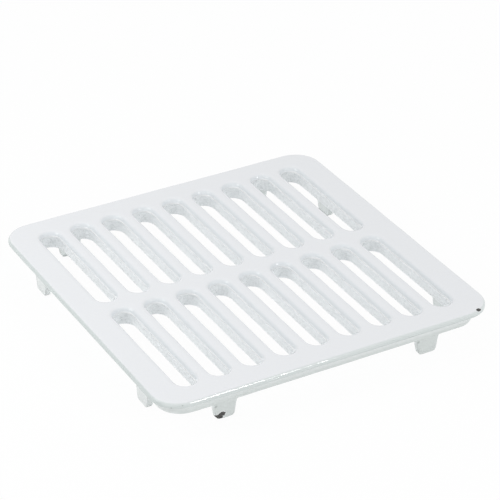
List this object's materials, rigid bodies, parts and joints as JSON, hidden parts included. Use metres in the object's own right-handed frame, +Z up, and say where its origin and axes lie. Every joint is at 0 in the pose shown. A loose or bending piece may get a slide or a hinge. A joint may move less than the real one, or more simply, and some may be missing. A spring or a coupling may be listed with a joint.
{
  "type": "floor sink grate",
  "caption": "Square enamelled cast-iron floor sink grate with two rows of round-ended drain slots, a seating flange and centring lugs underneath.",
  "frame": {"origin": "middle of the footprint, in the plane of the lug feet", "axes": "+Z up through the top face, slots run along Y, the front side in the picture faces -Y"},
  "size_m": [0.222, 0.222, 0.0247],
  "materials": {
    "enamel": "white porcelain enamel, gloss, fired over rough cast iron"
  },
  "bodies": {
    "root": {"grate": "enamel"}
  },
  "joints": []
}
